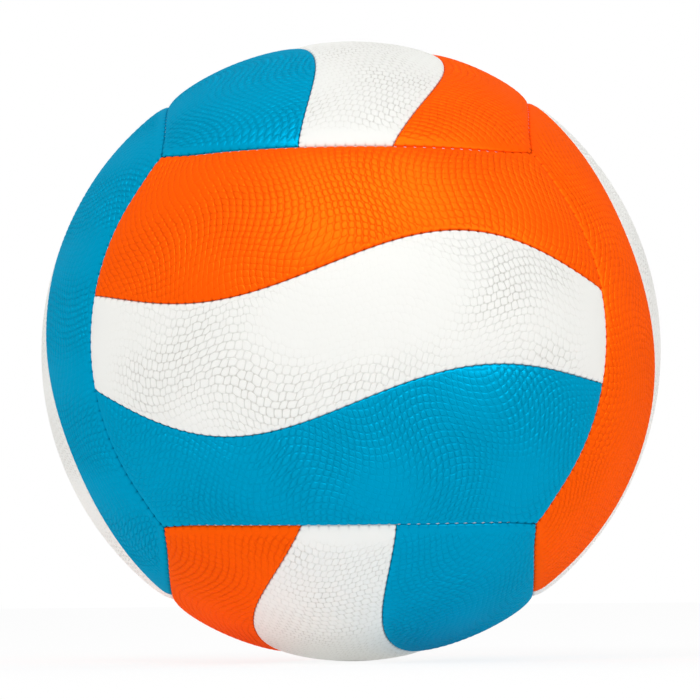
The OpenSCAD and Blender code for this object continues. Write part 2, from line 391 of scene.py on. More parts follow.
# %% The sewn grid
def sewn_grid(shape, spans):
    """A grid with round corners and needle holes: s, t, edge distances, pucker depth, shade.

    A hole moves a point away from its edge by its width times a bell of the distance along the
    seam times an exponential of the one from it. A pucker is a product of two bells.
    """
    along, across, length, width = plain_grid(shape, EDGE_LINES, spans)
    end_gap, side_gap = edge_gaps(shape, 2 * along / length - 1, across / width)
    a, b = round_corners(from_edge(along, length), from_edge(across, width))
    pucker = PUCKER * (bell(a / PUCKER_REACH) * bell(end_gap / PUCKER_L)
                       + bell(b / PUCKER_REACH) * bell(side_gap / PUCKER_L))
    pulled_a = a + HOLE_W * bell(end_gap / HOLE_L) * np.exp((RIM_GAP - a) / HOLE_REACH)
    pulled_b = b + HOLE_W * bell(side_gap / HOLE_L) * np.exp((RIM_GAP - b) / HOLE_REACH)
    s = 2 * put_back(pulled_a, along, length) / length - 1
    t = put_back(pulled_b, across, width) / width
    shade = np.maximum(seam_shade(a, end_gap), seam_shade(b, side_gap))
    return s, t, a, b, pucker, shade


print("a small grid:", sewn_grid("middle", (8, 4))[0].shape, "points along and across")

# %% [markdown]
# ## The puffed form
#
# Between its seams a strip is crowned by a parabola. Towards a seam its surface sinks faster and
# faster, as an exponential, because the thread pulls it down against the air, and in the last half
# millimetre it turns straight down. Two such edges make a soft V with a thin dark line in it. Where
# three groups meet, the pull of three seams cancels and the V is shallower. A bevelled edge would
# give a round groove of one width, which looks moulded, not sewn.

# %% Crown and seam
SEAM_DROP = 1.4
INNER_SEAM_SHARE = 0.42
SEAM_L = 3.0
LIP_W = 0.55
LIP_DROP = 0.42
EDGE_NORM = 3.5
CORNER_FILL = 0.9
CORNER_FILL_L = 9.0


def crowned_r(s, t):
    """Rim plus the crown's height times 1 - (2t - 1) squared and times 1 - s to the fourth."""
    return RIM_R + CROWN_H * (1 - (2 * t - 1) ** 2) * (1 - s ** 4)


def joined(qa, qb):
    """Two shares joined by a rounded norm, which leaves no crease where they are equal."""
    return np.minimum(1, (qa ** EDGE_NORM + qb ** EDGE_NORM) ** (1 / EDGE_NORM))


def seam_drop(shape, a, b, t, ways):
    """Exponential of the distance to the seam, less near a cube's corners, plus the lip.

    The angle to the nearest corner has the cosine CORNER_SHARE times the sum of |x|, |y| and |z|.
    Only an outer strip's far edge lies on a border, and the S-shaped seams are shallower. The lip
    is a quarter of a circle: 1 less the root of 1 less the squared share of the way to the rim.
    """
    depth = np.where((t > 0.5) & (shape == "outer"), 1.0, INNER_SEAM_SHARE)
    near = BALL_R * np.arccos(np.minimum(1, CORNER_SHARE * np.abs(ways).sum(-1)))
    fill = 1 - CORNER_FILL * bell(near / CORNER_FILL_L)
    sunk_a, sunk_b = (np.exp(-(d - RIM_GAP) / SEAM_L) for d in (a, b))
    sunk = joined(sunk_a, depth * sunk_b)
    q = joined(*(np.clip(1 - (d - RIM_GAP) / LIP_W, 0, 1) for d in (a, b)))
    return SEAM_DROP * fill * sunk + LIP_DROP * (1 - np.sqrt(1 - q * q))


print("crown at", round(float(crowned_r(0.0, 0.5)), 2), "mm; a border's seam is",
      round(SEAM_DROP + LIP_DROP, 2), "mm deep, an S-shaped one",
      round(INNER_SEAM_SHARE * SEAM_DROP + LIP_DROP, 2), "mm")

# %% [markdown]
# The foam isn't perfectly even, so a few long, shallow waves are pressed into each panel. The same
# sum of waves also varies the embossing. Blender's noise would do as well, but a sum of sines is
# one line of numpy for all points.

# %% Soft unevenness
WAVES = 5
WAVE_L = 34.0
WAVE_DEPTH = 0.05


def ripples(points, wavelength, count, rng):
    """Sum of sine waves in random directions, scaled to lie about between -1 and 1."""
    ways = rng.normal(size=(points.shape[-1], count))
    ways *= 2 * np.pi / wavelength / np.linalg.norm(ways, axis=0)
    return np.sin(points @ ways + rng.uniform(0, 2 * np.pi, count)).sum(-1) / np.sqrt(count)


print(WAVES, "waves of", WAVE_L, "mm, up to", WAVE_DEPTH, "mm deep")

# %% [markdown]
# ## The embossed scales
#
# The leather is embossed with rows and columns of small rounded scales, and both swing in long
# waves, so that they cross square in some places and slanted in others. The pattern is a plain
# lattice on a flat map whose two coordinates are bent by sine waves. The flat map is the ball's
# surface unrolled about the strip's middle line, which keeps the scales nearly true in size. The
# scales' size, depth, roundness and sway differ by colour. White has its rows laid like bricks,
# and a row share under one makes orange show its columns more than its rows.

# %% Sizes of the scales, along and across
SCALE = {"orange": (2.35, 2.5), "white": (2.5, 2.75), "blue": (2.2, 2.5)}
STRIP_TILT = {"middle": 0.0, "outer": 33.0}
EMBOSS = {"orange": 0.18, "white": 0.1, "blue": 0.2}
BRICK = {"orange": 0.0, "white": 0.5, "blue": 0.0}
SCALE_ROUND = {"orange": 2.8, "white": 3.6, "blue": 2.7}
ROW_SHARE = {"orange": 0.84, "white": 1.0, "blue": 1.0}
SWAY = {"orange": (3.4, 2.4), "white": (3.2, 3.0), "blue": (2.6, 4.2)}
SWAY_L = (8.5, 7.6)
JITTER = {"orange": 0.06, "white": 0.08, "blue": 0.06}
JITTER_L = 6.0
JITTER_WAVES = 6
print("scales in mm:", SCALE, "depth in mm:", EMBOSS)

# %% Map of a strip and its lattice of scales
def unroll(shape, points):
    """Millimetres along and across the great circle through the strip's middle.

    The points are turned about X by the strip's tilt. Along is then the radius times the arc
    tangent of x over z, and across the radius times the arc sine of y.
    """
    tilt = np.radians(STRIP_TILT[shape])
    y = np.cos(tilt) * points[..., 1] - np.sin(tilt) * points[..., 2]
    z = np.sin(tilt) * points[..., 1] + np.cos(tilt) * points[..., 2]
    return BALL_R * np.arctan2(points[..., 0], z), BALL_R * np.arcsin(y)


def scale_lattice(colour, x, y, rng):
    """Bent lattice: each coordinate plus a long sine of the other one, in scales."""
    p = rng.uniform(0, 2 * np.pi, 4)
    sway_x, sway_y = SWAY[colour]
    bent_x = x + sway_x * np.sin(y / SWAY_L[0] + p[0] + np.sin(x / (2 * SWAY_L[0]) + p[1]))
    bent_y = y + sway_y * np.sin(x / SWAY_L[1] + p[2] + np.sin(y / (2 * SWAY_L[1]) + p[3]))
    jitter = JITTER[colour] * ripples(np.stack([x, y], -1), JITTER_L, JITTER_WAVES, rng)
    return bent_x / SCALE[colour][0] + jitter, bent_y / SCALE[colour][1] - jitter


end_x = unroll("middle", direction(*strip_at("middle", 1.0, 0.5)))[0]
print("half a white strip is", round(float(end_x / SCALE["white"][0])), "scales long")

# %% One scale's pillow
def scale_height(colour, u, v):
    """Pillow: 1 - q cubed, q being the rounded distance from a scale's middle.

    Every second row may be moved along by a share of a scale, as in a brick wall, and a row
    share under one leaves the grooves between the rows shallower than those between columns.
    """
    along = u + BRICK[colour] * np.mod(np.floor(v), 2)
    fu, fv = 2 * np.mod(along, 1) - 1, ROW_SHARE[colour] * (2 * np.mod(v, 1) - 1)
    power = SCALE_ROUND[colour]
    q = (np.abs(fu) ** power + np.abs(fv) ** power) ** (1 / power)
    return 1 - np.minimum(1, q) ** 3


def smooth_step(x, low, high):
    """0 up to low and 1 from high on: between them k squared times 3 less 2k, k being the share."""
    k = np.clip((x - low) / (high - low), 0, 1)
    return k * k * (3 - 2 * k)


print("height between two rows of orange:", round(float(scale_height("orange", 0.5, 0.0)), 2),
      "and between two columns:", round(float(scale_height("orange", 0.0, 0.5)), 2))

# %% [markdown]
# ## From grid to closed shell
#
# A cover has a thickness. Solidify would double its millions of points for an inside that nobody
# sees, so behind the fine outer grid lies a coarser inner one, and a wall joins their borders. The
# wall zips the two loops together: each short outer edge makes a triangle with the nearest inner
# point, and where that point changes one more triangle fills in.

# %% Faces of grids and walls
def grid_quads(rows, columns, start=0):
    """Quads of a grid of points numbered row by row, wound towards rows cross columns."""
    i, j = np.meshgrid(np.arange(rows - 1), np.arange(columns - 1), indexing="ij")
    a = start + i * columns + j
    return np.stack([a, a + columns, a + columns + 1, a + 1], -1).reshape(-1, 4)


def border_loop(s, t):
    """Point numbers once round a grid, and how far round each one is, from 0 to 4."""
    rows, columns = s.shape
    number = np.arange(rows * columns).reshape(rows, columns)
    share = (s + 1) / 2
    sides = [number[:-1, 0], number[-1, :-1], number[:0:-1, -1], number[0, :0:-1]]
    turns = [share[:-1, 0], 1 + t[-1, :-1], 3 - share[:0:-1, -1], 4 - t[0, :0:-1]]
    return np.concatenate(sides), np.concatenate(turns)


def zip_loops(outer, outer_turn, inner, inner_turn):
    """Triangles between two loops, and the turn of each corner, for their map."""
    o, ot = np.append(outer, outer[0]), np.append(outer_turn, 4 + outer_turn[0])
    i, it = np.append(inner, inner[0]), np.append(inner_turn, 4 + inner_turn[0])
    near = np.searchsorted((it[:-1] + it[1:]) / 2, ot)
    a, b = near[:-1], near[1:]
    step = b > a
    faces = np.concatenate([np.stack([o[:-1], i[a], o[1:]], -1),
                            np.stack([o[1:], i[a], i[b]], -1)[step]])
    turns = np.concatenate([np.stack([ot[:-1], it[a], ot[1:]], -1),
                            np.stack([ot[1:], it[a], it[b]], -1)[step]])
    return faces, turns


print("a grid of 5 by 4 points has", len(grid_quads(5, 4)), "quads")

# %% [markdown]
# Blender takes a mesh as flat lists: the points, the point number at each corner of each face, and
# where each face's corners start. foreach_set takes each list as one whole numpy array, which is
# far quicker than a Python loop over a hundred thousand faces.

# %% Meshes and pieces
def new_mesh(name, points, quads, triangles):
    """A smooth mesh from points in millimetres and two arrays of faces."""
    mesh = bpy.data.meshes.new(name)
    corners = np.concatenate([quads.ravel(), triangles.ravel()]).astype(np.int32)
    starts = np.concatenate([4 * np.arange(len(quads)),
                             quads.size + 3 * np.arange(len(triangles))]).astype(np.int32)
    mesh.vertices.add(len(points))
    mesh.vertices.foreach_set("co", (points * MM).astype(np.float32).ravel())
    mesh.loops.add(len(corners))
    mesh.loops.foreach_set("vertex_index", corners)
    mesh.polygons.add(len(starts))
    mesh.polygons.foreach_set("loop_start", starts)
    mesh.polygons.foreach_set("use_smooth", np.ones(len(starts), bool))
    mesh.update(calc_edges=True)
    return mesh


def add_map(mesh, name, corner_uv):
    """A UV map with one pair of numbers for each corner of each face."""
    mesh.uv_layers.new(name=name).data.foreach_set("uv", corner_uv.astype(np.float32).ravel())


def new_piece(mesh, material, *replaced):
    """An object at the origin that rides on the ball and stands for the packed nodes."""
    piece = bpy.data.objects.new(mesh.name, mesh)
    bpy.context.scene.collection.objects.link(piece)
    mesh.materials.append(material)
    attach(piece, "root")
    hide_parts(*replaced)
    return piece


print("pieces will replace", sum(name.endswith("_panel") for name in nodes), "panels and",
      sum(name.endswith("_seam_threads") for name in nodes), "nodes of thread")

# %% [markdown]
# ## Materials by nodes
#
# Every finish is a few nodes on a Principled shader. A small helper adds a node and sets or links
# its inputs, so that a material reads like a formula. What is the same all over a surface is set
# on the shader's own socket.

# %% Colours
def linear(r, g, b):
    """A colour seen on a screen, 0 to 255, as the linear one that the shader needs.

    Each share c of 255 becomes c / 12.92 up to 0.04045, and ((c + 0.055) / 1.055) to the 2.4 above.
    """
    c = np.array([r, g, b]) / 255
    low = c / 12.92
    return (*np.where(c <= 0.04045, low, ((c + 0.055) / 1.055) ** 2.4), 1.0)


print("half of full white on a screen is", round(float(linear(128, 128, 128)[0]), 3), "of its light")

# %% Node helpers
class Nodes:
    """A material's node tree, to which each call adds one node."""

    def __init__(self, name, shader):
        """A new material, with these inputs of its Principled shader set."""
        self.material = bpy.data.materials.new(name)
        self.material.use_nodes = True
        self.tree = self.material.node_tree
        self.shader = self.tree.nodes["Principled BSDF"]
        self.set(self.shader, shader)

    def set(self, node, inputs):
        """Link each input that is given as another node's output, and type in the others."""
        for key, value in inputs.items():
            if isinstance(value, bpy.types.NodeSocket):
                self.tree.links.new(value, node.inputs[key])
            else:
                node.inputs[key].default_value = value

    def add(self, kind, inputs=(), out=0, **settings):
        """One shader node of this kind; what comes back is one of its outputs."""
        node = self.tree.nodes.new("ShaderNode" + kind)
        for key, value in settings.items():
            setattr(node, key, value)
        self.set(node, dict(inputs))
        return node.outputs[out]

    def math(self, operation, *values):
        """One operation on numbers or on other nodes' outputs."""
        return self.add("Math", enumerate(values), operation=operation)

    def ramp(self, value, low=0.0, high=1.0, to_low=0.0, to_high=1.0, kind="LINEAR"):
        """What lies from low to high is spread from to_low to to_high, and no further."""
        ends = {"From Min": low, "From Max": high, "To Min": to_low, "To Max": to_high}
        return self.add("MapRange", {"Value": value, **ends}, interpolation_type=kind)

    def noise(self, scale, detail=2.0):
        """Cloudy noise in the piece's own coordinates, scale being its clouds in a metre."""
        place = self.add("TexCoord", out="Object")
        return self.add("TexNoise", {"Vector": place, "Scale": scale, "Detail": detail})

    def blend(self, share, a, b):
        """Mix of two colours by a share. A colour Mix has them at its inputs 6 and 7."""
        return self.add("Mix", {0: share, 6: a, 7: b}, out=2, data_type="RGBA")

    def bump(self, height, depth, strength=1.0, below=None):
        """A bent normal: the height's slope times the depth in metres, over the one below it."""
        inputs = {"Height": height, "Distance": depth, "Strength": strength}
        if below is not None:
            inputs["Normal"] = below
        return self.add("Bump", inputs)


print("node helpers:", [name for name in vars(Nodes) if not name.startswith("_")])

# %% [markdown]
# ### The covers
#
# A cover's colour is dyed through and slightly mottled. The grooves between the scales are painted
# darker, as painted shade with the dirt that gathers there, and the seams get their painted shade.
# An image could carry all this, but it would blur close up.
# The nodes work out the same lattice as the mesh instead, from the map that the mesh carries, so
# colour, fine bump and true relief agree. A finer grain of pores lies over all of it. The leather
# has hardly any plain white gloss. Its sheen takes on the colour of the dye, so orange and blue
# get a small metallic share, which tints their highlights.

# %% Values that all the covers share
MOTTLE = 60.0
MOTTLE_SHARE = 0.5
PATCHES = 90.0
PATCHES_FROM = (0.35, 0.65)
PATCHES_LEAVE = 0.3
SIDE_FROM = (0.6, 0.85)
GRAIN = 2600.0
GRAIN_DEPTH = 0.00005
GRAIN_STRENGTH = 0.5
ROUGH_BELOW, ROUGH_ABOVE = 0.05, 0.07
print("mottle", MOTTLE, "patches", PATCHES, "and grain", GRAIN, "to the metre")

# %% Cover material
def cover(name, colour, mottled, groove, seam, cross_share, groove_share, groove_from, rough,
          gloss, specular, depth, shoulder_from):
    """Leather in four colours: the dye and its mottled one, the grooves' painted shade and dirt, and
    the seams' painted shade.

    q is the rounded distance from a scale's middle, as in scale_height. A groove's line starts at
    groove_from and is groove_share strong, but only cross_share of that where it runs across the
    columns. The bump falls away from shoulder_from by depth metres. Gloss is the metallic share.
    """
    m = Nodes(name + "_leather", {"Specular IOR Level": specular, "Metallic": gloss})
    parts = m.add("SeparateXYZ", {0: m.add("UVMap", uv_map="ScaleMap")}).node.outputs
    odd_row = m.math("PINGPONG", m.math("FLOOR", parts[1]), 1.0)
    along = m.math("MULTIPLY_ADD", odd_row, BRICK[name], parts[0])
    halves = [m.math("ABSOLUTE", m.math("MULTIPLY_ADD", m.math("FRACT", p), 2 * k, -k))
              for p, k in ((along, 1.0), (parts[1], ROW_SHARE[name]))]
    powers = [m.math("POWER", h, SCALE_ROUND[name]) for h in halves]
    q = m.math("POWER", m.math("ADD", *powers), 1 / SCALE_ROUND[name])
    relief = m.add("Attribute", out="Fac", attribute_name="relief")

    # The groove line is painted shade in the grooves between the scales, with their dirt: it darkens
    # the dye towards the groove colour, weaker across the columns and in patches.
    valley = m.math("MULTIPLY", m.ramp(q, groove_from, kind="SMOOTHSTEP"), relief)
    side = m.ramp(halves[0], *SIDE_FROM, cross_share)
    patchy = m.ramp(m.noise(PATCHES), *PATCHES_FROM, PATCHES_LEAVE)
    line = m.math("MULTIPLY", m.math("MULTIPLY", valley, side), patchy)
    mottle = m.math("MULTIPLY", m.noise(MOTTLE, 3.0), MOTTLE_SHARE)
    lined = m.blend(m.math("MULTIPLY", line, groove_share), m.blend(mottle, colour, mottled), groove)
    # The seams' painted shade: the shade worked out for each point blends the colour towards the
    # seam colour.
    shade = m.add("Attribute", out="Fac", attribute_name="shade")

    grain = m.noise(GRAIN, 3.0)
    fine = m.bump(grain, GRAIN_DEPTH, GRAIN_STRENGTH)
    shoulder = m.ramp(q, shoulder_from, to_high=-1.0, kind="SMOOTHSTEP")
    m.set(m.shader, {
        "Base Color": m.blend(shade, lined, seam),
        "Roughness": m.ramp(grain, to_low=rough - ROUGH_BELOW, to_high=rough + ROUGH_ABOVE),
        "Normal": m.bump(m.math("MULTIPLY", shoulder, relief), depth, below=fine),
    })
    return m.material


print("a cover's grain is", 1000 * GRAIN_DEPTH, "mm deep")

# %% The three covers
# The third colour of each cover is the grooves' painted shade and dirt, the fourth the seams'
# painted shade.
COVERS = {
    "orange": cover("orange", linear(255, 93, 9), linear(255, 85, 6), linear(222, 60, 4),
                    linear(185, 46, 6), cross_share=0.5, groove_share=0.4, groove_from=0.74,
                    rough=0.4, gloss=0.07, specular=0.0, depth=0.00024, shoulder_from=0.66),
    "white": cover("white", linear(243, 243, 239), linear(240, 240, 235), linear(150, 142, 128),
                   linear(180, 178, 174), cross_share=0.5, groove_share=0.38, groove_from=0.9,
                   rough=0.5, gloss=0.0, specular=0.06, depth=0.00017, shoulder_from=0.82),
    "blue": cover("blue", linear(0, 154, 196), linear(0, 149, 191), linear(0, 124, 168),
                  linear(0, 80, 112), cross_share=0.8, groove_share=0.22, groove_from=0.8,
                  rough=0.3, gloss=0.045, specular=0.0, depth=0.0003, shoulder_from=0.66),
}
print("covers:", [m.name for m in COVERS.values()])

# %% [markdown]
# ### The inside
#
# Foam, lining, rubber and thread are hidden or nearly so, but each still gets what its real
# material shows: cells in the foam, a plain weave in the lining, a soft sheen on the rubber and
# the twist of the thread. The patterns are in the piece's own coordinates, because the packed
# layers carry no map.

# %% Foam and lining
def foam_material():
    """Closed cells: the distance to the nearest cell's middle blends two creams and dents them."""
    m = Nodes("closed_cell_foam", {"Roughness": 0.9, "Specular IOR Level": 0.2})
    cells = m.add("TexVoronoi", {"Vector": m.add("TexCoord", out="Object"), "Scale": 1800.0})
    shade = m.ramp(cells, high=0.6)
    m.set(m.shader, {"Base Color": m.blend(shade, linear(224, 219, 200), linear(238, 234, 218)),
                     "Normal": m.bump(cells, 0.0002)})
    return m.material


def lining_material():
    """Plain weave: the product of two bands of waves, which run along X and along Z."""
    m = Nodes("cotton_lining", {"Roughness": 0.85, "Sheen Weight": 0.2})
    place = m.add("TexCoord", out="Object")
    waves = [m.add("TexWave", {"Vector": place, "Scale": 350.0}, bands_direction=d)
             for d in ("X", "Z")]
    weave = m.math("MULTIPLY", *waves)
    m.set(m.shader, {"Base Color": m.blend(weave, linear(200, 200, 194), linear(222, 222, 216)),
                     "Normal": m.bump(weave, 0.0001)})
    return m.material


FOAM = foam_material()
LINING = lining_material()
print("soft layers:", FOAM.name, "and", LINING.name)

# %% Thread and rubber
RUBBER_SPREAD = 0.08


def thread_material():
    """Thread: fine noise blends two off-whites and bends the normal as fibres do."""
    m = Nodes("bonded_thread", {"Roughness": 0.55, "Sheen Weight": 0.3})
    fibre = m.noise(3000.0)
    m.set(m.shader, {"Base Color": m.blend(fibre, linear(206, 210, 208), linear(240, 242, 240)),
                     "Normal": m.bump(fibre, 0.00005)})
    return m.material


def rubber_material(name, colour, pale, rough):
    """Rubber: one cloudy noise blends its two greys and moves its roughness up and down."""
    m = Nodes(name, {"Specular IOR Level": 0.4})
    cloud = m.noise(400.0, 4.0)
    m.set(m.shader, {"Base Color": m.blend(cloud, colour, pale),
                     "Roughness": m.ramp(cloud, to_low=rough - RUBBER_SPREAD,
                                         to_high=rough + RUBBER_SPREAD),
                     "Normal": m.bump(m.noise(5000.0), 0.00002, 0.6)})
    return m.material


THREAD = thread_material()
BLADDER = rubber_material("bladder_rubber", linear(28, 28, 30), linear(48, 48, 50), 0.55)
VALVE = rubber_material("valve_rubber", linear(40, 40, 42), linear(62, 62, 64), 0.5)
print("thread and rubber:", THREAD.name, BLADDER.name, VALVE.name)

# %% [markdown]
# ## Where the scales stand
#
# The scales fade out towards the seams, where the sheet was pulled tight, and stand a little
# stronger here and weaker there. The middle of the front white strip was pressed nearly smooth.
# Some panels are cut across the roll of leather, and there the lattice's two directions change
# places.

# %% How strongly the scales stand
PATCHED_PANEL = ("front", "white")
PATCH_AT = (7.0, 9.0)
PATCH_HALF = (36.0, 19.0)
PATCH_TURN = np.radians(14.0)
PATCH_LEFT = 0.12
PATCH_RIM = (0.75, 1.25)
PATCHED_END_FADE = (8.0, 27.0)
SIDE_FADE = (0.6, 2.2)
END_FADE = {"orange": (1.2, 5.0), "white": (4.0, 11.0), "blue": (1.2, 5.0)}
UNEVEN_L = 40.0
UNEVEN_WAVES = 4
STANDS, STANDS_SWING, STANDS_LEAST = 0.8, 0.35, 0.25


def relief_mask(colour, x, y, a, b, rng, patch):
    """How strongly the scales stand: faded near seams, uneven inside, none on a smooth patch."""
    end_fade = PATCHED_END_FADE if patch else END_FADE[colour]
    mask = smooth_step(b, *SIDE_FADE) * smooth_step(a, *end_fade)
    swing = ripples(np.stack([x, y], -1), UNEVEN_L, UNEVEN_WAVES, rng)
    mask *= np.clip(STANDS + STANDS_SWING * swing, STANDS_LEAST, 1.0)
    if patch:
        x, y = x - PATCH_AT[0], y - PATCH_AT[1]
        along = np.cos(PATCH_TURN) * x + np.sin(PATCH_TURN) * y
        across = np.cos(PATCH_TURN) * y - np.sin(PATCH_TURN) * x
        off_patch = np.hypot(along / PATCH_HALF[0], across / PATCH_HALF[1])
        mask *= mix(PATCH_LEFT, 1, smooth_step(off_patch, *PATCH_RIM))
    return mask


print("smooth patch on", PATCHED_PANEL, "of", [2 * half for half in PATCH_HALF], "mm")

# %% [markdown]
# ## Making the eighteen panels
#
# A panel's outer surface is the crowned ball less everything that presses it in: the seams, the
# stitches' puckers, the soft waves and the grooves of the embossing. The real relief is in the
# mesh, not in a bump alone, so that it shows at the ball's outline and in low light.

# %% Outer surface of a panel
INNER_EVERY = 4
LENGTH_AT = 0.4
CUT_ACROSS = (("right", "orange"), ("left", "orange"), ("bottom", "orange"),
              ("top", "white"), ("bottom", "white"))


def spans_of(shape):
    """Even spans along and across, whole multiples of the inner grid's coarser step."""
    sizes = (float(long_length(shape, LENGTH_AT)), float(cross_length(shape, 0.0)))
    return [INNER_EVERY * round(size / GRID_STEP / INNER_EVERY) for size in sizes]


def outer_surface(group, colour, shape, rng):
    """s, t, the lattice's u and v, the radius, and how strong relief and shade are there.

    The radius is the crowned one less seam, pucker, wave, and depth of the scales times what
    each point lacks of its scale's height.
    """
    s, t, a, b, pucker, shade = sewn_grid(shape, spans_of(shape))
    way = direction(*strip_at(shape, s, t))
    x, y = unroll(shape, way)
    sheet_x, sheet_y = (y, x) if (group, colour) in CUT_ACROSS else (x, y)
    u, v = scale_lattice(colour, sheet_x, sheet_y, rng)
    mask = relief_mask(colour, x, y, a, b, rng, (group, colour) == PATCHED_PANEL)
    uneven = WAVE_DEPTH * (1 - np.clip(ripples(way * BALL_R, WAVE_L, WAVES, rng), -1, 1)) / 2
    radius = (crowned_r(s, t) - seam_drop(shape, a, b, t, way) - pucker - uneven
              - EMBOSS[colour] * mask * (1 - scale_height(colour, u, v)))
    return s, t, u, v, radius, mask, shade


print("spans along and across:", {shape: spans_of(shape) for shape in LENGTHS})

# %% [markdown]
# Behind it lies the leather's back, and at the edges the sheet turns in as a hem that the thread
# goes through. The sheet is thinner there than between the seams.

# %% Inner surface of a panel
INNER_ROLL = np.array([0.9, 1.3, 2.4])
HEM_TURN = (1.2, 2.35)
THIN_SKIN_T = 0.45


def inner_surface(shape):
    """s, t and radius of the back: the hem's radius, blended into the crown's less the skin.

    The skin's thickness is a thin one plus the seam's own exponential, or the full one if larger.
    """
    spans = [n // INNER_EVERY for n in spans_of(shape)]
    along, across, length, width = plain_grid(shape, INNER_ROLL, spans)
    s, t = 2 * along / length - 1, across / width
    depth = np.minimum(from_edge(along, length), from_edge(across, width))
    skin = np.maximum(SKIN_T, SEAM_DROP * np.exp(-depth / SEAM_L) + THIN_SKIN_T)
    return s, t, mix(HEM_R, crowned_r(s, t) - skin, smooth_step(depth, *HEM_TURN))


def in_place(s, t, shape, radius, rows):
    """Points on the ball: the direction at s and t times the radius, turned to the group."""
    return (direction(*strip_at(shape, s, t)) * radius[..., None]).reshape(-1, 3) @ rows


print("hem at", HEM_R, "mm, skin", SKIN_T, "mm thick")

# %% [markdown]
# A panel carries two maps. One is the bent lattice, which the finish reads. The other lays the
# outside, the wall and the inside beside each other in one square, with no overlap, so that the
# finish can be baked into an image. Two more values ride on the points: how strongly the scales
# stand, and the seam's shade.

# %% A panel's mesh
OUTER_MAP, WALL_MAP, INNER_MAP = (0.0, 0.78), (0.80, 0.83), (0.85, 1.0)
WALL_TURNS = 4 + 1 / 8


def make_panel(group, colour, seed):
    """A closed shell: outer grid, inner grid wound the other way, and the wall between them."""
    shape = "middle" if colour == "white" else "outer"
    rng = np.random.default_rng(seed)
    rows = turn_to_group(group, lies_below(group, colour))
    s, t, u, v, radius, mask, shade = outer_surface(group, colour, shape, rng)
    si, ti, inside_r = inner_surface(shape)
    points = np.concatenate([in_place(s, t, shape, radius, rows),
                             in_place(si, ti, shape, inside_r, rows)])
    quads = np.concatenate([grid_quads(*s.shape), grid_quads(*si.shape, s.size)[:, ::-1]])
    inner_loop, inner_turn = border_loop(si, ti)
    wall, wall_turn = zip_loops(*border_loop(s, t), inner_loop + s.size, inner_turn)
    mesh = new_mesh(f"{group}_{colour}_cover", points, quads, wall)

    xi, yi = unroll(shape, direction(*strip_at(shape, si, ti)))
    lattice = np.stack([np.append(u, xi / SCALE[colour][0]),
                        np.append(v, yi / SCALE[colour][1])], -1)
    add_map(mesh, "ScaleMap", lattice[np.concatenate([quads.ravel(), wall.ravel()])])
    share = np.stack([np.append((s + 1) / 2, (si + 1) / 2),
                      np.append(mix(*OUTER_MAP, t), mix(*INNER_MAP, ti))], -1)
    wall_uv = np.stack([wall_turn / WALL_TURNS, np.where(wall < s.size, *WALL_MAP)], -1)
    add_map(mesh, "OFBake", np.concatenate([share[quads.ravel()], wall_uv.reshape(-1, 2)]))
    for name, values in (("relief", mask), ("shade", shade)):
        layer = mesh.attributes.new(name, "FLOAT", "POINT")
        layer.data.foreach_set("value", np.append(values, 0 * si).astype(np.float32))
    return mesh


print("maps: outside", OUTER_MAP, "wall", WALL_MAP, "inside", INNER_MAP)

# %% [markdown]
# The valve sits in the middle of the back group's white strip. That panel needs a round hole for
# the valve's stem, which a boolean cut opens in the closed shell. The cut is applied at once, so
# the cutter can be thrown away.

# %% Valve hole
VALVE_PANEL = ("back", "white")
VALVE_HOLE_R = 4.05
CUTTER_SIDES = 96
CUTTER_L = 30.0


def cut_valve_hole(piece):
    """The piece less a cylinder about +Y, which crosses the shell at the ball's radius."""
    bpy.ops.mesh.primitive_cylinder_add(vertices=CUTTER_SIDES, radius=VALVE_HOLE_R * MM,
                                        depth=CUTTER_L * MM, location=(0, BALL_R * MM, 0),
                                        rotation=(np.pi / 2, 0, 0))
    cutter = bpy.context.object
    hole = piece.modifiers.new("valve_hole", "BOOLEAN")
    hole.object = cutter
    hole.solver = "EXACT"
    bpy.context.view_layer.update()
    shell = bpy.data.meshes.new_from_object(
        piece.evaluated_get(bpy.context.evaluated_depsgraph_get()))
    piece.modifiers.clear()
    piece.data = shell
    bpy.data.objects.remove(cutter)


print("valve hole", 2 * VALVE_HOLE_R, "mm wide in", VALVE_PANEL)

# %% [markdown]
# Each panel draws its own random numbers, seeded by its place in the list, so that the scales run
# differently on every panel, as they do on panels cut from one long sheet. The first seed was
# chosen for how the scales then run on the front panels.

# %% The eighteen covers
FIRST_SEED = 30403

faces = 0
for seed, (group, colour) in enumerate(((g, c) for g in GROUPS for c in COLOURS), FIRST_SEED):
    node = f"{group}_{colour}_panel"
    piece = new_piece(make_panel(group, colour, seed), COVERS[colour], node)
    if (group, colour) == VALVE_PANEL:
        cut_valve_hole(piece)
    piece.data.calc_loop_triangles()
    faces += len(piece.data.loop_triangles)
print("eighteen covers,", faces, "triangles")

# %% [markdown]
# ## The sewing thread
#
# In each seam one thread runs along the hems, and at every needle hole a small loop of it comes up
# between the panels. A bevelled curve could make each of them, but the loops are all alike. So one
# half ring is worked out and placed at every stitch by one matrix product, and the hundreds of
# loops need no Python loop.

# %% Tubes
THREAD_R = 0.3
THREAD_LOW_R = 104.1
TUBE_SIDES = 6
TUBE_STEPS = 90


def tube_faces(rings, sides):
    """Walls of a tube as quads, and its two end caps as fans of triangles."""
    i, k = np.meshgrid(np.arange(rings - 1), np.arange(sides), indexing="ij")
    a, b = i * sides + k, i * sides + (k + 1) % sides
    walls = np.stack([a, b, b + sides, a + sides], -1).reshape(-1, 4)
    k = np.arange(1, sides - 1)
    first = np.stack([0 * k, k + 1, k], -1)
    last = (rings - 1) * sides + np.stack([0 * k, k, k + 1], -1)
    return walls, np.concatenate([first, last])


def tube_points(line, side, up, radius, sides):
    """Rings about a line: the side direction times cosine plus the up direction times sine."""
    turn = 2 * np.pi * np.arange(sides) / sides
    ring = np.cos(turn)[:, None] * side[..., None, :] + np.sin(turn)[:, None] * up[..., None, :]
    return line[..., None, :] + radius * ring


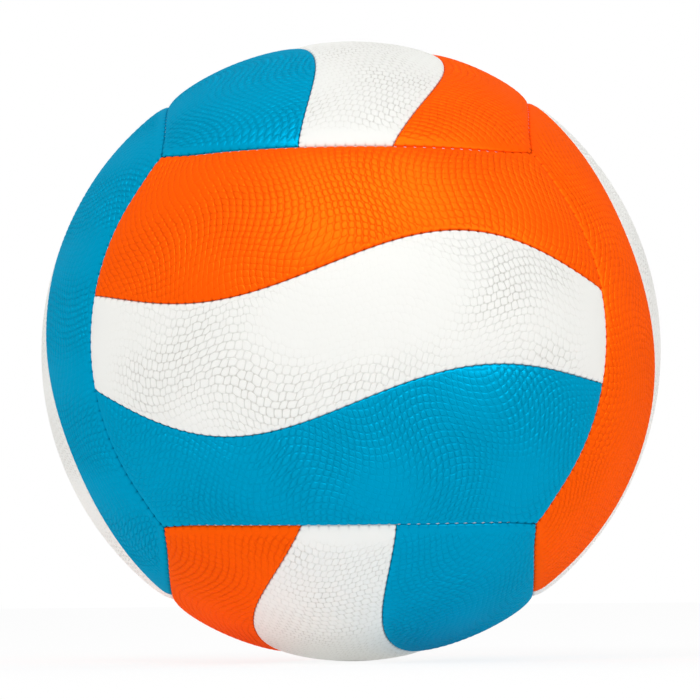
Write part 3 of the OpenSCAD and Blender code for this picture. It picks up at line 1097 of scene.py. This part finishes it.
print("a low thread has", len(tube_faces(TUBE_STEPS + 1, TUBE_SIDES)[0]), "quads")

# %% Stitch loops
LOOP_R = 0.26
LOOP_THREAD_R = 0.17
LOOP_RINGS, LOOP_SIDES = 6, 5


def stitch_loops(ways, ahead):
    """Half rings across a seam at each outward direction, given the direction along the seam.

    A spoke of the ring is cosine times the direction across plus sine times the outward one.
    """
    turn = np.linspace(0, np.pi, LOOP_RINGS)[:, None]
    across = np.cross(ahead, ways)[:, None, :]
    ways = ways[:, None, :]
    spoke = np.cos(turn) * across + np.sin(turn) * ways
    line = THREAD_LOW_R * ways + LOOP_R * spoke
    along = np.broadcast_to(ahead[:, None, :], spoke.shape)
    return tube_points(line, spoke, along, LOOP_THREAD_R, LOOP_SIDES).reshape(-1, 3)


print("a loop rises to", round(THREAD_LOW_R + LOOP_R + LOOP_THREAD_R, 2), "mm from the centre")

# %% Lines that the thread follows
def unit(v):
    """Each vector over its length."""
    return v / np.linalg.norm(v, axis=-1, keepdims=True)


def seam_line(arc):
    """Directions from the ball's centre to places along an S-shaped seam."""
    return direction(*seam_at(1, np.interp(arc, seam_arc, seam_s)))


def border_line(turn):
    """Directions to places on the border at the strips' +X ends, by their turn about +Z.

    The angle from +Z solves OUT cos angle - ALONG sin angle cos turn = LEVEL.
    """
    along = ALONG * np.cos(turn)
    angle = np.arccos(LEVEL / np.hypot(OUT, along)) - np.arctan2(along, OUT)
    return np.stack([np.sin(angle) * np.cos(turn), np.sin(angle) * np.sin(turn), np.cos(angle)], -1)


def sewn_line(line, half, stitches, step):
    """The low thread along one seam, and the stitch loops that rise from it.

    The direction along the seam is the unit vector between the places a step before and after.
    """
    place = np.linspace(-half, half, TUBE_STEPS + 1)
    ways = line(place)
    ahead = unit(line(place + step) - line(place - step))
    low = tube_points(THREAD_LOW_R * ways, np.cross(ahead, ways), ways, THREAD_R, TUBE_SIDES)
    at = line(stitches)
    loops = stitch_loops(at, unit(line(stitches + step) - line(stitches - step)))
    return low.reshape(-1, 3), loops


print("a seam's middle lies in direction", seam_line(0.0).round(3), "and a border's in",
      border_line(0.0).round(3))

# %% [markdown]
# One node holds a group's four threads: its two S-shaped seams and its two ends' borders. The
# thread of the long sides belongs to the groups beside it. The second pair is the first, turned
# half round.

# %% Thread meshes
END_CLEAR = 3.0
SEAM_NUDGE = 0.05
BORDER_NUDGE = 0.0005


def make_threads(group):
    """Tubes and loops of both halves of a group, their faces numbered on from each other."""
    half_arc, half_turn = seam_arc[-1] - END_CLEAR, np.pi / 4 - END_CLEAR / BORDER_R
    seam_at_arcs = SEAM_PITCH * np.arange(-SEAM_STITCHES, SEAM_STITCHES + 1)
    border_half = BORDER_STITCHES // 2 - 1
    border_at_turns = BORDER_PITCH * np.arange(-border_half, border_half + 1)
    loop_size = LOOP_RINGS * LOOP_SIDES
    points, quads, triangles, count = [], [], [], 0
    tube, loop = tube_faces(TUBE_STEPS + 1, TUBE_SIDES), tube_faces(LOOP_RINGS, LOOP_SIDES)
    for half_round in (False, True):
        rows = turn_to_group(group, half_round)
        for low, loops in (sewn_line(seam_line, half_arc, seam_at_arcs, SEAM_NUDGE),
                           sewn_line(border_line, half_turn, border_at_turns, BORDER_NUDGE)):
            starts = count + len(low) + loop_size * np.arange(len(loops) // loop_size)
            quads += [tube[0] + count, (loop[0] + starts[:, None, None]).reshape(-1, 4)]
            triangles += [tube[1] + count, (loop[1] + starts[:, None, None]).reshape(-1, 3)]
            points += [low @ rows, loops @ rows]
            count += len(low) + len(loops)
    return new_mesh(f"{group}_stitching", *map(np.concatenate, (points, quads, triangles)))


for group in GROUPS:
    piece = new_piece(make_threads(group), THREAD, f"{group}_seam_threads")
    print(piece.name, len(piece.data.polygons), "faces")

# %% [markdown]
# ## Finishes for the packed layers
#
# The foams, linings, bladder and valve have their right shape in the packed model, so they keep it
# and only get their finish. The foams are padding, and the linings are cloth that is stretched
# over the bladder.


def finish_of(name):
    """The finish that a packed node's name asks for, or none if a new piece replaces it."""
    if name.endswith("_foam"):
        return FOAM
    if name.endswith("_linings"):
        return LINING
    return {"bladder": BLADDER, "valve_housing": VALVE, "valve_core": VALVE}.get(name)


for name, node in nodes.items():
    if finish_of(name):
        node.data.materials.clear()
        node.data.materials.append(finish_of(name))

# %% [markdown]
# ## Floor, light and camera
#
# The floor is a plain pale sheet under the ball. To the camera it is nearly white, because a share
# of its shader shines for camera rays, and the rest is plain diffuse, which keeps the shadow. The
# world does the same: white to the camera, and an even studio light for everything else.

# %% What is seen directly
DIRECT_RAYS = ("Is Camera Ray", "Is Glossy Ray", "Is Transmission Ray")


def seen_directly(tree):
    """1 for camera, glossy and transmission rays, and 0 for the rays that carry light.

    It is the largest of the light path's three answers, found two at a time.
    """
    path = tree.nodes.new("ShaderNodeLightPath")
    total = path.outputs[DIRECT_RAYS[0]]
    for name in DIRECT_RAYS[1:]:
        larger = tree.nodes.new("ShaderNodeMath")
        larger.operation = "MAXIMUM"
        tree.links.new(total, larger.inputs[0])
        tree.links.new(path.outputs[name], larger.inputs[1])
        total = larger.outputs[0]
    return total


print("white to:", DIRECT_RAYS)

# %% Floor
FLOOR_HALF = 4.0
FLOOR_GREY = (0.92, 0.92, 0.92, 1)
FLOOR_GLOW = 0.85
GLOW_STRENGTH = 1.02


def floor_material():
    """Diffuse and glow, mixed by the glow's share times what is seen directly."""
    material = bpy.data.materials.new("pale_floor")
    material.use_nodes = True
    tree = material.node_tree
    tree.nodes.clear()
    matte, glow = tree.nodes.new("ShaderNodeBsdfDiffuse"), tree.nodes.new("ShaderNodeEmission")
    matte.inputs["Color"].default_value = FLOOR_GREY
    glow.inputs["Strength"].default_value = GLOW_STRENGTH
    share, mixer = tree.nodes.new("ShaderNodeMath"), tree.nodes.new("ShaderNodeMixShader")
    share.operation = "MULTIPLY"
    share.inputs[1].default_value = FLOOR_GLOW
    tree.links.new(seen_directly(tree), share.inputs[0])
    tree.links.new(share.outputs[0], mixer.inputs[0])
    tree.links.new(matte.outputs[0], mixer.inputs[1])
    tree.links.new(glow.outputs[0], mixer.inputs[2])
    out = tree.nodes.new("ShaderNodeOutputMaterial")
    tree.links.new(mixer.outputs[0], out.inputs["Surface"])
    return material


bpy.ops.mesh.primitive_plane_add(size=2 * FLOOR_HALF, location=(0, 0, -BALL_R * MM))
floor = bpy.context.object
floor.name = "floor"
floor.data.materials.append(floor_material())
print("floor", 2 * FLOOR_HALF, "m wide at", round(floor.location.z, 4), "m")

# %% World
WORLD_LIGHT = 0.79

world = bpy.data.worlds.new("studio")
bpy.context.scene.world = world
world.use_nodes = True
sky = world.node_tree
strength = sky.nodes.new("ShaderNodeMapRange")
strength.inputs["To Min"].default_value = WORLD_LIGHT
strength.inputs["To Max"].default_value = 1.0
sky.links.new(seen_directly(sky), strength.inputs["Value"])
sky.links.new(strength.outputs[0], sky.nodes["Background"].inputs["Strength"])
sky.nodes["Background"].inputs["Color"].default_value = (1, 1, 1, 1)
print("world gives", WORLD_LIGHT, "of white as light")

# %% [markdown]
# The photograph looks taken in soft light from all round, over a lit table. A key lamp stands up
# in front and a weaker fill lamp on the right. The table is a wide lamp just above the floor that
# shines up and that the camera doesn't see. Two more lamps give only gloss and no
# light, so that they draw the broad sheen on the leather and leave its shading alone: a large one
# above, which makes the front orange yellower in its middle, and a small one on the right. A lamp
# is turned so that its face looks at the ball, by three directions at right angles.

# %% Lamps
UPRIGHT = (0, 1, 0.1)
TABLE_LIFT = 0.0003


def soft_lamp(name, place, size, power, back=None):
    """A disc lamp that shines against its back direction, which is from the ball to its place.

    Its side is at right angles to UPRIGHT and to back, and its third direction to both of these.
    """
    data = bpy.data.lights.new(name, "AREA")
    data.shape = "DISK"
    data.size = size
    data.energy = power
    lamp = bpy.data.objects.new(name, data)
    back = unit(np.array(place if back is None else back, float))
    side = unit(np.cross(UPRIGHT, back))
    turn = np.stack([side, np.cross(back, side), back], -1)
    lamp.matrix_world = Matrix.Translation(place) @ Matrix(turn.tolist()).to_4x4()
    bpy.context.scene.collection.objects.link(lamp)
    print(name, "lamp,", size, "m wide,", power, "W")
    return lamp


soft_lamp("key", (-0.3, -1.0, 1.1), 0.45, 4.0)
soft_lamp("fill", (0.9, -1.4, 0.2), 0.9, 2.2)
table = soft_lamp("light_table", (0, 0, -BALL_R * MM + TABLE_LIFT), 0.5, 0.13, back=(0, 0, -1))
table.visible_camera = False
for name, place, size, power in (("high_sheen", (0.12, -0.86, 0.93), 1.5, 86.0),
                                 ("low_sheen", (0.98, -0.78, 0.3), 0.5, 28.0)):
    soft_lamp(name, place, size, power).visible_diffuse = False

# %% [markdown]
# The camera stands 1.32 m away and a little below the ball's middle. Its three small turns are
# those that bring the seams onto the photograph's seams, and its long lens gives the photograph's
# width. The tiny shift moves the ball's middle to its place in the 700 pixel frame.

# %% Camera
FRAME_PX = 700
HALF_PX = 0.5
CAMERA_AWAY = 1.3186
CAMERA_TURNS = np.radians([-3.535, -0.823, 0.582])
LENS_PX = 3820.2
SENSOR_MM = 36.0
CENTRE_PX = (350.5, 350.7)
SEEN_FROM, SEEN_TO = 0.05, 50


def turn_about(axis, angle):
    """Rotation matrix about one axis: cosines on the diagonal, minus and plus the sine off it."""
    i, j = [(1, 2), (2, 0), (0, 1)][axis]
    turn = np.eye(3)
    turn[i, i] = turn[j, j] = np.cos(angle)
    turn[i, j], turn[j, i] = -np.sin(angle), np.sin(angle)
    return turn


pitch, yaw, roll = CAMERA_TURNS
axes = turn_about(2, roll) @ turn_about(1, yaw) @ turn_about(0, pitch)
stand_up = np.array([[1, 0, 0], [0, 0, 1], [0, -1, 0]])
axes = axes @ stand_up
camera_data = bpy.data.cameras.new("camera")
camera_data.sensor_width = SENSOR_MM
camera_data.lens = LENS_PX * SENSOR_MM / FRAME_PX
camera_data.shift_x = -(CENTRE_PX[0] + HALF_PX - FRAME_PX / 2) / FRAME_PX
camera_data.shift_y = (CENTRE_PX[1] + HALF_PX - FRAME_PX / 2) / FRAME_PX
camera_data.clip_start, camera_data.clip_end = SEEN_FROM, SEEN_TO
camera = bpy.data.objects.new("camera", camera_data)
camera.matrix_world = (Matrix.Translation((axes[2] * CAMERA_AWAY).tolist())
                       @ Matrix(axes.T.tolist()).to_4x4())
bpy.context.scene.collection.objects.link(camera)
bpy.context.scene.camera = camera
bpy.context.scene.view_settings.view_transform = "Standard"
print("camera at", [round(v, 3) for v in camera.location], "lens", round(camera_data.lens, 1))

# %% [markdown]
# ## The end
